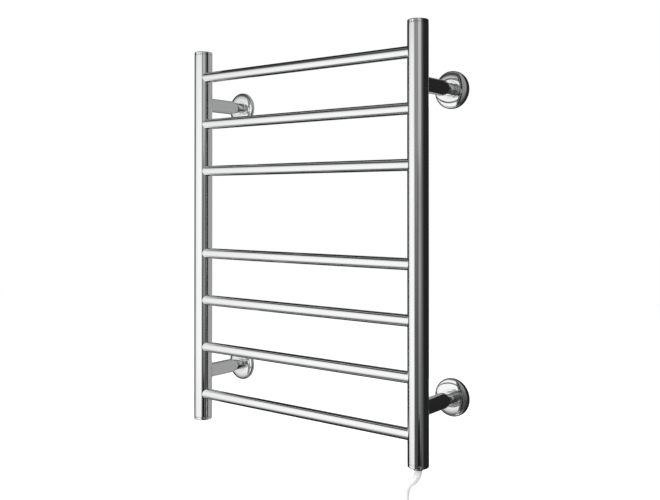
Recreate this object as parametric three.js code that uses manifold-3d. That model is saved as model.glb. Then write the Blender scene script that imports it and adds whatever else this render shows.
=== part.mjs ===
// Wall-hung towel warmer: a ladder of seven round bars between two round uprights, carried on
// four wall brackets and heated by a rod element inside the right upright.
//
// Frame, in millimetres: +Z up, the wall is the plane y = 0, the rack stands in front of it
// towards -Y, and the origin is the centre of the four brackets on the wall.

import * as THREE from 'three';
import { mergeVertices } from 'three/addons/utils/BufferGeometryUtils.js';
import Module from 'manifold-3d';

const wasm = await Module();
wasm.setup();

// ---------------------------------------------------------------- driving dimensions

const seam = 0.3; // gap left wherever two separate pieces meet

// ladder
const upright_spacing = 426; // between the two upright axes
const upright_diameter = 30;
const upright_wall = 1.2;
const bar_diameter = 17.5;
const bar_wall = 1.0;
const bar_forward = 3; // bar axes lie this far in front of the upright axes
const bar_pitch = 78.7;
const upper_bar_count = 3;
const lower_bar_count = 4;
const wide_pitch = 138.5; // between the upper and the lower group
const end_margin = 44; // from an end of the upright to the nearest bar axis
const bar_end_from_axis = 6.8; // a bar's open end stops this far from the upright axis

// end caps
const cap_height = 5;
const cap_edge = 1.6; // rounding of the cap's outer edge
const cap_spigot_length = 8;
const cap_spigot_wall = 2.2;

// wall brackets
const bracket_from_top = 88;
const bracket_from_bottom = 79;
const axis_to_wall = 97; // from the upright axes to the wall
const sleeve_diameter = 23;
const sleeve_bore = 16;
const sleeve_end_chamfer = 0.8;
const post_diameter = 19;
const post_visible = 29; // from the wall to the sleeve's end face
const spigot_length = 30;
const cover_diameter = 56;
const cover_height = 8.4;
const cover_shell = 1.1;
const cover_rim = 3.2; // straight part of the cover's edge
const cover_shoulder = 15; // radial width of the domed face
const collar_width = 3; // raised ring round the post
const collar_height = 1;
const plate_diameter = 50;
const plate_thickness = 3;
const plate_hole_diameter = 5.2;
const plate_hole_spacing = 34;

// bracket fasteners
const grub_diameter = 4.9;
const grub_from_sleeve_end = 10;
const grub_recess = 0.5;
const grub_socket = 2.6; // across the corners of the hexagon
const grub_socket_depth = 1.5;
const screw_diameter = 5;
const screw_length = 13;
const screw_head_diameter = 9.2;
const screw_socket = 3.4;
const screw_socket_depth = 1.2;

// heater inside the right upright
const element_diameter = 8;
const element_start = 56; // above the bottom of the upright
const element_length = 384;
const element_tip_length = 3; // rounded upper end
const element_tip_radius = 0.8;
const element_plug_height = 8;
const element_plug_start = 58;
const spacer_height = 6;
const spacer_starts = [157, 346];
const cutout_diameter = 6.8;
const cutout_length = 16;
const cutout_start = 30;
const cutout_neck_radius = 1.4;
const cutout_neck_length = 2;
const wire_diameter = 2;
const wire_spread = 1.8; // of the cores from the cord's axis
const wire_lead = 4; // straight length at a wire's end
const short_lead = 2.5; // the same in the narrow space over the cutout
const earth_loop_rise = 3; // of the earth wire on its way over to the tag
const earth_loop_height = 5;

// gland, cord and plug
const cord_diameter = 6;
const gland_flange_diameter = 15.6;
const gland_flange_height = 3.6;
const gland_edge = 1.2; // rounding of the flange's lower edge
const gland_stem_diameter = 12;
const locknut_across_corners = 17;
const locknut_height = 4;
const earth_tag_diameter = 18;
const earth_tag_thickness = 0.8;
const earth_tab_reach = 10.7;
const earth_tab_width = 4;
const relief_length = 24;
const relief_top_diameter = 11.5;
const relief_tip_diameter = 8.4;
const relief_clearance = 0.5; // round the cord
const cord_bend_radius = 25;
const cord_bend_angle = 50; // degrees that the cord leans before it turns back down
const cord_lean_heading = 180; // degrees from +X, seen from above: towards the rack's middle
const cord_straight = 8; // down from the second bend to the hank
const hank_run = 101;
const hank_turns = 4.5;
const hank_fold_width = 6 * cord_diameter;
const hank_waist = 2 * cord_diameter + 1; // across both strands where the tie draws them in
const tie_height = 9;
const tie_thickness = 1.2;
const tie_margin = 1; // straight cord past each edge of the tie
const plug_width = 36;
const plug_depth = 24;
const plug_length = 40;
const plug_corner = 5;
const plug_top_share = 0.62; // the body's top against its foot
const plug_tail_length = 14;
const plug_tail_diameter = 12;
const plug_tail_taper = 1;
const pin_length = 17;
const pin_width = 6.3;
const pin_thickness = 1.6;
const pin_circle_radius = 7.9;
const pin_embed = 6;

// facets
const upright_sides = 24;
const bar_sides = 18;
const sleeve_sides = 18;
const cover_sides = 24;
const gland_sides = 16;
const small_sides = 12;
const cord_sides = 8;
const wire_sides = 6;

// ---------------------------------------------------------------- derived places

const upright_radius = upright_diameter / 2;
const upright_bore_radius = upright_radius - upright_wall;
const bar_radius = bar_diameter / 2;
const bar_count = upper_bar_count + lower_bar_count;
const rack_height = 2 * end_margin + (bar_count - 2) * bar_pitch + wide_pitch;
const bracket_spacing = rack_height - bracket_from_top - bracket_from_bottom;
const rack_top = bracket_spacing / 2 + bracket_from_top;
const rack_bottom = rack_top - rack_height;
const upright_x = upright_spacing / 2;
const upright_y = -axis_to_wall;
const bar_y = upright_y - bar_forward;
const spigot_radius = sleeve_bore / 2 - seam;
const sleeve_length = axis_to_wall - post_visible;

const bar_heights = [];
for (let i = 0; i < bar_count; i += 1) {
  const step_down = i * bar_pitch + (i >= upper_bar_count ? wide_pitch - bar_pitch : 0);
  bar_heights.push(rack_top - end_margin - step_down);
}

// ---------------------------------------------------------------- materials

const metal = (color, roughness) => new THREE.MeshStandardMaterial({ color, roughness, metalness: 1 });
const plain = (color, roughness) => new THREE.MeshStandardMaterial({ color, roughness, metalness: 0 });

const polished_steel = () => metal(0xdcdddf, 0.06);
const zinc_steel = () => metal(0xb9bcc0, 0.32);
const element_steel = () => metal(0x9a948c, 0.42);
const brass = () => metal(0xc9a45c, 0.3);
const white_plastic = () => plain(0xf1f0ec, 0.42);
const white_pvc = () => plain(0xf0efea, 0.5);
const silicone = () => plain(0x9c4a33, 0.7);
const ceramic = () => plain(0xe4dfd2, 0.6);
const wire_cover = (color) => plain(color, 0.55);

// ---------------------------------------------------------------- shape tools

/** Welds a geometry into one closed body whose faces point out. */
function closed(geometry) {
  const bare = geometry.index ? geometry.toNonIndexed() : geometry.clone();
  bare.deleteAttribute('normal');
  bare.deleteAttribute('uv');
  const welded = mergeVertices(bare, 1e-4);
  const position = welded.getAttribute('position');
  const corners = [...welded.index.array];
  const kept = [];
  for (let i = 0; i < corners.length; i += 3) {
    const [a, b, c] = corners.slice(i, i + 3);
    if (a !== b && b !== c && c !== a) kept.push(a, b, c);
  }
  const p = [new THREE.Vector3(), new THREE.Vector3(), new THREE.Vector3()];
  let volume = 0;
  for (let i = 0; i < kept.length; i += 3) {
    p.forEach((corner, k) => corner.fromBufferAttribute(position, kept[i + k]));
    volume += p[0].dot(p[1].clone().cross(p[2]));
  }
  if (volume < 0) kept.reverse();
  const result = new THREE.BufferGeometry();
  result.setAttribute('position', position);
  result.setIndex(kept);
  return result;
}

function solid(geometry) {
  const welded = closed(geometry);
  const vertProperties = Float32Array.from(welded.getAttribute('position').array);
  const triVerts = Uint32Array.from(welded.index.array);
  return new wasm.Manifold(new wasm.Mesh({ numProp: 3, vertProperties, triVerts }));
}

function geometryOf(body) {
  const mesh = body.getMesh();
  const geometry = new THREE.BufferGeometry();
  geometry.setAttribute('position', new THREE.BufferAttribute(Float32Array.from(mesh.vertProperties), 3));
  geometry.setIndex([...mesh.triVerts]);
  return geometry;
}

/** Cuts every tool geometry out of the blank. */
function cut(blank, tools) {
  let body = solid(blank);
  for (const tool of tools) body = body.subtract(solid(tool));
  return geometryOf(body);
}

/** Turns a profile of [radius, height] points about the Z axis. */
function turned(profile, sides) {
  const points = profile.map(([radius, height]) => new THREE.Vector2(radius, height));
  return new THREE.LatheGeometry(points, sides).rotateX(Math.PI / 2);
}

/** The same about the axis of a wall bracket, with heights counted from the wall to the front. */
function turnedFromWall(profile, sides) {
  return turned(profile, sides).rotateX(Math.PI / 2);
}

/** A tube's profile, closed on itself. */
function tubeProfile(outer, inner, start, end) {
  return [[inner, start], [outer, start], [outer, end], [inner, end], [inner, start]];
}

/** Points of a quarter round from the side (radius, low) to the top (radius - width, low + height). */
function shoulder(radius, low, width, height, steps) {
  const points = [];
  for (let i = 0; i <= steps; i += 1) {
    const angle = (i / steps) * Math.PI / 2;
    points.push([radius - width * (1 - Math.cos(angle)), low + height * Math.sin(angle)]);
  }
  return points;
}

/** An upright cylinder or hexagon between two heights. */
function pillar(radius, start, end, sides) {
  return turned([[0, start], [radius, start], [radius, end], [0, end]], sides);
}

/** A round section swept along a curve. */
function swept(curve, radius, sides, steps) {
  const section = new THREE.Shape();
  for (let i = 0; i < sides; i += 1) {
    const angle = (i / sides) * 2 * Math.PI;
    const x = radius * Math.cos(angle);
    const y = radius * Math.sin(angle);
    if (i === 0) section.moveTo(x, y);
    else section.lineTo(x, y);
  }
  section.closePath();
  return new THREE.ExtrudeGeometry(section, { extrudePath: curve, steps, curveSegments: 1 });
}

const object = new THREE.Group();

/** Adds one named sub-part at a place. */
function piece(name, geometry, material, place = [0, 0, 0]) {
  const mesh = new THREE.Mesh(closed(geometry), material);
  mesh.name = name;
  mesh.position.set(...place);
  object.add(mesh);
  return mesh;
}

// ---------------------------------------------------------------- ladder

/** One upright tube, drilled on its inner side for the bars. inward is +1 or -1 along X. */
function uprightTube(inward) {
  const low = rack_bottom + cap_height + seam;
  const high = rack_top - cap_height - seam;
  const tube = turned(tubeProfile(upright_radius, upright_bore_radius, low, high), upright_sides);
  const drill_length = upright_diameter;
  const drills = bar_heights.map((height) => {
    const drill = turned([
      [0, 0], [bar_radius + seam, 0], [bar_radius + seam, drill_length], [0, drill_length],
    ], bar_sides);
    drill.rotateY(inward * Math.PI / 2);
    drill.translate(0, -bar_forward, height);
    return drill;
  });
  return cut(tube, drills);
}

function barTube() {
  const half = upright_x - bar_end_from_axis;
  const tube = turned(tubeProfile(bar_radius, bar_radius - bar_wall, -half, half), bar_sides);
  return tube.rotateY(Math.PI / 2);
}

/** A plug-in cap with its outer face at height 0 and its spigot reaching up into the tube. */
function endCap(hole_radius) {
  const spigot_radius_outer = upright_bore_radius - seam;
  const spigot_radius_inner = spigot_radius_outer - cap_spigot_wall;
  const spigot_end = cap_height + cap_spigot_length;
  const edge = shoulder(upright_radius, cap_edge, cap_edge, -cap_edge, 2);
  const profile = [
    [hole_radius, 0],
    ...edge.reverse(),
    [upright_radius, cap_height],
    [spigot_radius_outer, cap_height],
    [spigot_radius_outer, spigot_end],
    [spigot_radius_inner, spigot_end],
    [spigot_radius_inner, cap_height],
    [hole_radius, cap_height],
  ];
  if (hole_radius > 0) profile.push([hole_radius, 0]);
  return turned(profile, upright_sides);
}

function buildLadder() {
  piece('left_upright', uprightTube(1), polished_steel(), [-upright_x, upright_y, 0]);
  piece('right_upright', uprightTube(-1), polished_steel(), [upright_x, upright_y, 0]);
  bar_heights.forEach((height, i) => {
    piece(`bar_${i + 1}`, barTube(), polished_steel(), [0, bar_y, height]);
  });
  const cable_hole = gland_stem_diameter / 2 + seam;
  piece('left_bottom_cap', endCap(0), polished_steel(), [-upright_x, upright_y, rack_bottom]);
  piece('right_bottom_cap', endCap(cable_hole), polished_steel(), [upright_x, upright_y, rack_bottom]);
  piece('left_top_cap', endCap(0).rotateX(Math.PI), polished_steel(), [-upright_x, upright_y, rack_top]);
  piece('right_top_cap', endCap(0).rotateX(Math.PI), polished_steel(), [upright_x, upright_y, rack_top]);
}

// ---------------------------------------------------------------- wall brackets

const sleeve_radius = sleeve_diameter / 2;
const grub_from_wall = post_visible + grub_from_sleeve_end;

/** The stand-off sleeve: saddle-cut to the upright at its front, drilled below for the grub screw. */
function sleeve() {
  const profile = [
    [sleeve_bore / 2, axis_to_wall],
    [sleeve_bore / 2, post_visible],
    [sleeve_radius - sleeve_end_chamfer, post_visible],
    [sleeve_radius, post_visible + sleeve_end_chamfer],
    [sleeve_radius, axis_to_wall],
    [sleeve_bore / 2, axis_to_wall],
  ];
  const saddle = pillar(upright_radius + seam, -sleeve_diameter, sleeve_diameter, upright_sides);
  saddle.translate(0, upright_y, 0);
  const drill = pillar(grub_diameter / 2 + seam, -sleeve_diameter, 0, small_sides);
  drill.translate(0, -grub_from_wall, 0);
  return cut(turnedFromWall(profile, sleeve_sides), [saddle, drill]);
}

function grubScrew() {
  const tip = -(spigot_radius + seam);
  const head = -(sleeve_radius - grub_recess);
  const body = pillar(grub_diameter / 2, head, tip, small_sides);
  const socket = pillar(grub_socket / 2, head - 1, head + grub_socket_depth, 6);
  return cut(body, [socket]);
}

/** The post: a visible stub, a spigot inside the sleeve and a blind hole for the plate's screw. */
function wallPost() {
  const foot = plate_thickness + seam;
  const hole_radius = screw_diameter / 2 + seam;
  const hole_end = foot + screw_length;
  const stub_end = post_visible - seam;
  const spigot_end = post_visible + spigot_length;
  const lead_in = 1;
  return turnedFromWall([
    [0, hole_end],
    [hole_radius, hole_end],
    [hole_radius, foot],
    [post_diameter / 2, foot],
    [post_diameter / 2, stub_end],
    [spigot_radius, stub_end],
    [spigot_radius, spigot_end - lead_in],
    [spigot_radius - lead_in, spigot_end],
    [0, spigot_end],
  ], sleeve_sides);
}

/** The loose cover: a domed shell that hides the plate, with a collar round the post. */
function flangeCover() {
  const outer = cover_diameter / 2;
  const inner = outer - cover_shell;
  const bore = post_diameter / 2 + seam;
  const collar = bore + collar_width;
  const dome = cover_height - cover_rim;
  const outside = shoulder(outer, cover_rim, cover_shoulder, dome, 4);
  const inside = shoulder(inner, cover_rim, cover_shoulder, dome - cover_shell, 3).reverse();
  return turnedFromWall([
    [outer, seam],
    ...outside,
    [collar, cover_height],
    [collar, cover_height + collar_height],
    [bore, cover_height + collar_height],
    [bore, cover_height - cover_shell],
    ...inside,
    [inner, seam],
    [outer, seam],
  ], cover_sides);
}

function wallPlate() {
  const bore = screw_diameter / 2 + seam;
  const sink = screw_head_diameter / 2 + 2 * seam;
  const disc = turnedFromWall([
    [bore, sink - bore],
    [sink, 0],
    [plate_diameter / 2, 0],
    [plate_diameter / 2, plate_thickness],
    [bore, plate_thickness],
    [bore, sink - bore],
  ], cover_sides);
  const drills = [-1, 1].map((side) => {
    const drill = turnedFromWall([
      [0, -1], [plate_hole_diameter / 2, -1],
      [plate_hole_diameter / 2, plate_thickness + 1], [0, plate_thickness + 1],
    ], small_sides);
    return drill.translate(0, 0, side * plate_hole_spacing / 2);
  });
  return cut(disc, drills);
}

/** The countersunk screw that holds the post to its plate from behind. */
function postScrew() {
  const radius = screw_diameter / 2;
  const head = screw_head_diameter / 2;
  const below_back = 0.2;
  const body = turnedFromWall([
    [0, below_back],
    [head, below_back],
    [radius, below_back + head - radius],
    [radius, plate_thickness + screw_length - 1],
    [0, plate_thickness + screw_length - 1],
  ], small_sides);
  const socket = turnedFromWall([
    [0, -1], [screw_socket / 2, -1],
    [screw_socket / 2, below_back + screw_socket_depth], [0, below_back + screw_socket_depth],
  ], 6);
  return cut(body, [socket]);
}

function buildBracket(label, x, z) {
  piece(`${label}_sleeve`, sleeve(), polished_steel(), [x, 0, z]);
  piece(`${label}_grub_screw`, grubScrew(), zinc_steel(), [x, -grub_from_wall, z]);
  piece(`${label}_post`, wallPost(), polished_steel(), [x, 0, z]);
  piece(`${label}_cover`, flangeCover(), polished_steel(), [x, 0, z]);
  piece(`${label}_plate`, wallPlate(), zinc_steel(), [x, 0, z]);
  piece(`${label}_post_screw`, postScrew(), zinc_steel(), [x, 0, z]);
}

function buildBrackets() {
  const half = bracket_spacing / 2;
  buildBracket('left_top', -upright_x, half);
  buildBracket('right_top', upright_x, half);
  buildBracket('left_bottom', -upright_x, -half);
  buildBracket('right_bottom', upright_x, -half);
}

// ---------------------------------------------------------------- heater

const wire_radius = wire_diameter / 2;
const element_radius = element_diameter / 2;
const cord_end = cap_height + cap_spigot_length + 1; // jacket's end inside, above the bottom
const gland_radius = gland_stem_diameter / 2;
const tag_floor = cap_height + seam;
const nut_floor = tag_floor + earth_tag_thickness + seam;

function heatingElement() {
  const end = element_start + element_length;
  const tip_width = element_radius - element_tip_radius;
  return turned([
    [0, element_start],
    [element_radius, element_start],
    ...shoulder(element_radius, end - element_tip_length, tip_width, element_tip_length, 3),
    [0, end],
  ], small_sides);
}

/** A ring that centres the element in the upright. */
function centringRing(start, height) {
  const outer = upright_bore_radius - seam;
  return turned(tubeProfile(outer, element_radius + seam, start, start + height), upright_sides);
}

function thermalCutout() {
  const radius = cutout_diameter / 2;
  const end = cutout_start + cutout_length;
  return turned([
    [0, cutout_start],
    [cutout_neck_radius, cutout_start],
    [radius, cutout_start + cutout_neck_length],
    [radius, end - cutout_neck_length],
    [cutout_neck_radius, end],
    [0, end],
  ], small_sides);
}

function wire(points) {
  const curve = new THREE.CatmullRomCurve3(points.map((point) => new THREE.Vector3(...point)));
  return swept(curve, wire_radius, wire_sides, 3 * points.length);
}

/** The earth tag: a ring under the locknut with a tab for the wire. */
function earthTag() {
  const bore = gland_radius + seam;
  const high = tag_floor + earth_tag_thickness;
  const ring = turned(tubeProfile(earth_tag_diameter / 2, bore, tag_floor, high), gland_sides);
  const tab_start = earth_tag_diameter / 2 - 1;
  const tab_length = earth_tab_reach - tab_start;
  const tab = new THREE.BoxGeometry(earth_tab_width, tab_length, earth_tag_thickness);
  tab.translate(0, tab_start + tab_length / 2, (tag_floor + high) / 2);
  return geometryOf(solid(ring).add(solid(tab)));
}

function buildHeater() {
  const place = [upright_x, upright_y, rack_bottom];
  const cutout_x = element_radius + seam + cutout_diameter / 2;
  const wire_start = cord_end + seam;
  const wire_end = element_start - seam;
  const tab_y = earth_tab_reach - wire_radius - seam / 2;
  const earth_y = wire_spread + seam / 2;
  piece('heating_element', heatingElement(), element_steel(), place);
  piece('element_plug', centringRing(element_plug_start, element_plug_height), silicone(), place);
  spacer_starts.forEach((start, i) => {
    piece(`element_spacer_${i + 1}`, centringRing(start, spacer_height), silicone(), place);
  });
  piece('thermal_cutout', thermalCutout(), ceramic(), [upright_x + cutout_x, upright_y, rack_bottom]);
  piece('live_wire_lower', wire([
    [wire_spread, 0, wire_start],
    [wire_spread, 0, wire_start + wire_lead],
    [cutout_x, 0, cutout_start - wire_lead],
    [cutout_x, 0, cutout_start - seam],
  ]), wire_cover(0x7a4a2a), place);
  piece('live_wire_upper', wire([
    [cutout_x, 0, cutout_start + cutout_length + seam],
    [cutout_x, 0, cutout_start + cutout_length + short_lead],
    [wire_spread, 0, wire_end - short_lead],
    [wire_spread, 0, wire_end],
  ]), wire_cover(0x7a4a2a), place);
  piece('neutral_wire', wire([
    [-wire_spread, 0, wire_start],
    [-wire_spread, 0, wire_start + wire_lead],
    [-wire_spread, 0, wire_end - wire_lead],
    [-wire_spread, 0, wire_end],
  ]), wire_cover(0x2f5f9e), place);
  piece('earth_wire', wire([
    [0, earth_y, wire_start],
    [0, earth_y + wire_radius, wire_start + earth_loop_rise],
    [0, (earth_y + tab_y) / 2, wire_start + earth_loop_height],
    [0, tab_y, wire_start + seam],
    [0, tab_y, nut_floor + wire_lead],
    [0, tab_y, nut_floor],
  ]), wire_cover(0x6f9a3a), place);
  piece('earth_tag', earthTag(), brass(), place);
}

// ---------------------------------------------------------------- gland, cord and plug

const cord_radius = cord_diameter / 2;
const cord_clearance = cord_radius + seam;
const gland_bottom = rack_bottom - seam - gland_flange_height;
const lean = THREE.MathUtils.degToRad(cord_lean_heading);
const bend = THREE.MathUtils.degToRad(cord_bend_angle);

/** A point of the cord, from its sideways shift along the lean and its drop below the gland. */
function cordPoint(shift, drop) {
  return [
    upright_x + shift * Math.cos(lean),
    upright_y + shift * Math.sin(lean),
    gland_bottom - drop,
  ];
}

/** The cord's centre line at a distance along the first bend. */
function firstBend(distance) {
  const angle = distance / cord_bend_radius;
  return {
    shift: cord_bend_radius * (1 - Math.cos(angle)),
    drop: cord_bend_radius * Math.sin(angle),
    angle,
  };
}

const bend_shift = cord_bend_radius * (1 - Math.cos(bend));
const bend_drop = cord_bend_radius * Math.sin(bend);
const hank_shift = 2 * bend_shift;
const hank_top_drop = 2 * bend_drop + cord_straight;

function cableGland() {
  const stem_end = nut_floor + locknut_height + 1;
  const flange_radius = gland_flange_diameter / 2;
  return turned([
    [cord_clearance, -seam - gland_flange_height],
    ...shoulder(flange_radius, gland_edge - seam - gland_flange_height, gland_edge, -gland_edge, 2)
      .reverse(),
    [flange_radius, -seam],
    [gland_radius, -seam],
    [gland_radius, stem_end],
    [cord_clearance, stem_end],
    [cord_clearance, -seam - gland_flange_height],
  ], gland_sides);
}

function glandLocknut() {
  const high = nut_floor + locknut_height;
  const hexagon = pillar(locknut_across_corners / 2, nut_floor, high, 6);
  return cut(hexagon, [pillar(gland_radius + seam, nut_floor - 1, high + 1, gland_sides)]);
}

/** The strain relief: a tapered sleeve bent along the cord's first bend. */
function strainRelief() {
  const steps = 5;
  const outside = [];
  const inside = [];
  for (let i = 0; i <= steps; i += 1) {
    const share = i / steps;
    const down = -seam - share * relief_length;
    const diameter = THREE.MathUtils.lerp(relief_top_diameter, relief_tip_diameter, share);
    outside.push([diameter / 2, down]);
    inside.push([cord_radius + relief_clearance, down]);
  }
  const relief = turned([...outside, ...inside.reverse(), outside[0]], gland_sides);
  const position = relief.getAttribute('position');
  for (let i = 0; i < position.count; i += 1) {
    const { shift, drop, angle } = firstBend(-position.getZ(i));
    const along = position.getX(i) * Math.cos(lean) + position.getY(i) * Math.sin(lean);
    const across = -position.getX(i) * Math.sin(lean) + position.getY(i) * Math.cos(lean);
    const turned_shift = shift + along * Math.cos(angle);
    const turned_drop = drop - along * Math.sin(angle);
    position.setXYZ(
      i,
      turned_shift * Math.cos(lean) - across * Math.sin(lean),
      turned_shift * Math.sin(lean) + across * Math.cos(lean),
      -turned_drop,
    );
  }
  return relief;
}

/** The free cord, from its end inside the upright down to the hank. */
function cordTube() {
  const points = [[upright_x, upright_y, rack_bottom + cord_end], cordPoint(0, -4), cordPoint(0, 0)];
  const steps = 5;
  for (let i = 1; i <= steps; i += 1) {
    const { shift, drop } = firstBend((i / steps) * bend * cord_bend_radius);
    points.push(cordPoint(shift, drop));
  }
  for (let i = steps - 1; i >= 0; i -= 1) {
    const { shift, drop } = firstBend((i / steps) * bend * cord_bend_radius);
    points.push(cordPoint(2 * bend_shift - shift, 2 * bend_drop - drop));
  }
  points.push(cordPoint(hank_shift, hank_top_drop - seam));
  const curve = new THREE.CatmullRomCurve3(points.map((point) => new THREE.Vector3(...point)));
  return swept(curve, cord_radius, cord_sides, 30);
}

const hank_layers = Math.ceil(hank_turns);
const hank_depth = hank_layers * cord_diameter;
const hank_half_width = (hank_fold_width + cord_diameter) / 2;
const hank_height = hank_run + 2 * hank_half_width;
const hank_set_back = (hank_depth - cord_diameter) / 2; // its first layer is in line with the cord

/** Half the hank's width at a height from its middle, where the tie draws it in. */
function hankHalfWidth(height) {
  const straight = tie_height / 2 + tie_margin;
  const share = Math.max(Math.abs(height) - straight, 0) / (hank_run / 2 - straight);
  const drawn_in = (hank_half_width - hank_waist / 2) * (1 + Math.cos(Math.PI * share)) / 2;
  return hank_half_width - drawn_in;
}

/** The folded length of cord: the outline of its turns, round at both folds, waisted by the tie. */
function hankOutline() {
  const half_run = hank_run / 2;
  const straight = tie_height / 2 + tie_margin;
  const steps = 6;
  const heights = [];
  for (let i = 0; i <= steps; i += 1) heights.push(THREE.MathUtils.lerp(straight, half_run, i / steps));
  const side = [...[...heights].reverse().map((height) => -height), ...heights];
  const shape = new THREE.Shape();
  shape.moveTo(hank_half_width, -half_run);
  for (const height of side.slice(1)) shape.lineTo(hankHalfWidth(height), height);
  shape.absarc(0, half_run, hank_half_width, 0, Math.PI, false);
  for (const height of side.slice(1)) shape.lineTo(-hankHalfWidth(height), -height);
  shape.absarc(0, -half_run, hank_half_width, Math.PI, 2 * Math.PI, false);
  return shape;
}

function hank() {
  const block = new THREE.ExtrudeGeometry(hankOutline(), {
    depth: hank_depth, bevelEnabled: false, curveSegments: 12,
  });
  return block.translate(0, 0, -hank_depth / 2).rotateX(Math.PI / 2);
}

/** The tie: a flat band round the waist of the hank. */
function cordTie() {
  const inner_x = hank_waist / 2 + seam;
  const inner_y = hank_depth / 2 + seam;
  const band = (x, y, height) => new THREE.BoxGeometry(2 * x, 2 * y, height);
  return cut(
    band(inner_x + tie_thickness, inner_y + tie_thickness, tie_height),
    [band(inner_x, inner_y, 2 * tie_height)],
  );
}

/** The plug: a tapering moulded body with a tail that takes the cord, its top at height 0. */
function plugBody() {
  const tail = turned([
    [0, -plug_tail_length - 2],
    [plug_tail_diameter / 2, -plug_tail_length - 2],
    [plug_tail_diameter / 2 - plug_tail_taper, 0],
    [0, 0],
  ], 20);
  const corner = plug_corner;
  const face = new THREE.Shape();
  const x = plug_width / 2;
  const y = plug_depth / 2;
  face.moveTo(x, -y + corner);
  face.absarc(x - corner, y - corner, corner, 0, Math.PI / 2, false);
  face.absarc(-x + corner, y - corner, corner, Math.PI / 2, Math.PI, false);
  face.absarc(-x + corner, -y + corner, corner, Math.PI, 1.5 * Math.PI, false);
  face.absarc(x - corner, -y + corner, corner, 1.5 * Math.PI, 2 * Math.PI, false);
  const block = new THREE.ExtrudeGeometry(face, { depth: plug_length, bevelEnabled: false, curveSegments: 5 });
  const low = -plug_tail_length - plug_length;
  block.translate(0, 0, low);
  const position = block.getAttribute('position');
  for (let i = 0; i < position.count; i += 1) {
    if (position.getZ(i) > low + 1) {
      position.setX(i, position.getX(i) * plug_top_share);
      position.setY(i, position.getY(i) * plug_top_share);
    }
  }
  const slots = pinPlaces().map((place) => pinBlade(seam, place));
  let body = solid(block).add(solid(tail));
  for (const slot of slots) body = body.subtract(solid(slot));
  return geometryOf(body);
}

/** Three flat pins on a circle, the first one upright for earth and two slanted. */
function pinPlaces() {
  return [90, 210, 330].map((angle) => {
    const heading = THREE.MathUtils.degToRad(angle);
    return {
      x: pin_circle_radius * Math.cos(heading),
      y: pin_circle_radius * Math.sin(heading),
      turn: heading,
    };
  });
}

/** One pin, or with a margin the slot that it sits in. */
function pinBlade(margin, { x, y, turn }) {
  const low = -plug_tail_length - plug_length - pin_length;
  const high = -plug_tail_length - plug_length + pin_embed + margin;
  const blade = new THREE.BoxGeometry(pin_width + 2 * margin, pin_thickness + 2 * margin, high - low);
  blade.rotateZ(turn);
  return blade.translate(x, y, (low + high) / 2);
}

function buildCord() {
  const at_exit = [upright_x, upright_y, gland_bottom];
  const [hank_x, first_layer_y, hank_top] = cordPoint(hank_shift, hank_top_drop);
  const hank_y = first_layer_y + hank_set_back;
  const plug_y = hank_y + hank_set_back;
  const hank_middle = hank_top - hank_height / 2;
  const plug_top = hank_top - hank_height - seam;
  piece('cable_gland', cableGland(), polished_steel(), [upright_x, upright_y, rack_bottom]);
  piece('gland_locknut', glandLocknut(), zinc_steel(), [upright_x, upright_y, rack_bottom]);
  piece('strain_relief', strainRelief(), white_pvc(), at_exit);
  piece('cord', cordTube(), white_pvc());
  piece('cord_hank', hank(), white_pvc(), [hank_x, hank_y, hank_middle]);
  piece('cord_tie', cordTie(), white_plastic(), [hank_x, hank_y, hank_middle]);
  piece('plug_body', plugBody(), white_pvc(), [hank_x, plug_y, plug_top]);
  ['earth', 'live', 'neutral'].forEach((name, i) => {
    piece(`plug_pin_${name}`, pinBlade(0, pinPlaces()[i]), brass(), [hank_x, plug_y, plug_top]);
  });
}

buildLadder();
buildBrackets();
buildHeater();
buildCord();

export default object;
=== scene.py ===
"""Towel warmer rack: a polished steel ladder on four wall brackets, with its mains lead and plug.

Laid out as an add-on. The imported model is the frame; each new piece is modelled at the frame's own
places, in metres, with +Z up and the wall at y = 0.
"""

import math

import bpy
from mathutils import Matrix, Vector


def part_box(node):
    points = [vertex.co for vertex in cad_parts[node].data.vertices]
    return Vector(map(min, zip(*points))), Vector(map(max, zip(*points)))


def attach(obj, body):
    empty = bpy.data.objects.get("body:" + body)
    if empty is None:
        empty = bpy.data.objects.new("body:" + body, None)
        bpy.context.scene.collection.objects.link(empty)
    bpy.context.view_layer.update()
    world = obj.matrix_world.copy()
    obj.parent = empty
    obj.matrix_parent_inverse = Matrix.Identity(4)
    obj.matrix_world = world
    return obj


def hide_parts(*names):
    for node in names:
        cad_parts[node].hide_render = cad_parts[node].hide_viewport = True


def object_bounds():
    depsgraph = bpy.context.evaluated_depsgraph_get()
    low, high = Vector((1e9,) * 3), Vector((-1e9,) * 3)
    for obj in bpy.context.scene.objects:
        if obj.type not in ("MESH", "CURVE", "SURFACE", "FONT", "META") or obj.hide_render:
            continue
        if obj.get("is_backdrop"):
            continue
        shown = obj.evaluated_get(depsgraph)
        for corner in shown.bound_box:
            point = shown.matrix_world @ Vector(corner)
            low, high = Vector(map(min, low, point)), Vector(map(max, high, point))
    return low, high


bl_info = {
    "name": "Towel warmer rack",
    "version": (1, 0, 0),
    "blender": (4, 5, 0),
    "location": "3D View > Sidebar > Towel warmer",
    "description": "Polished steel towel warmer rack with wall brackets, mains lead and plug",
    "category": "Object",
}

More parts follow.
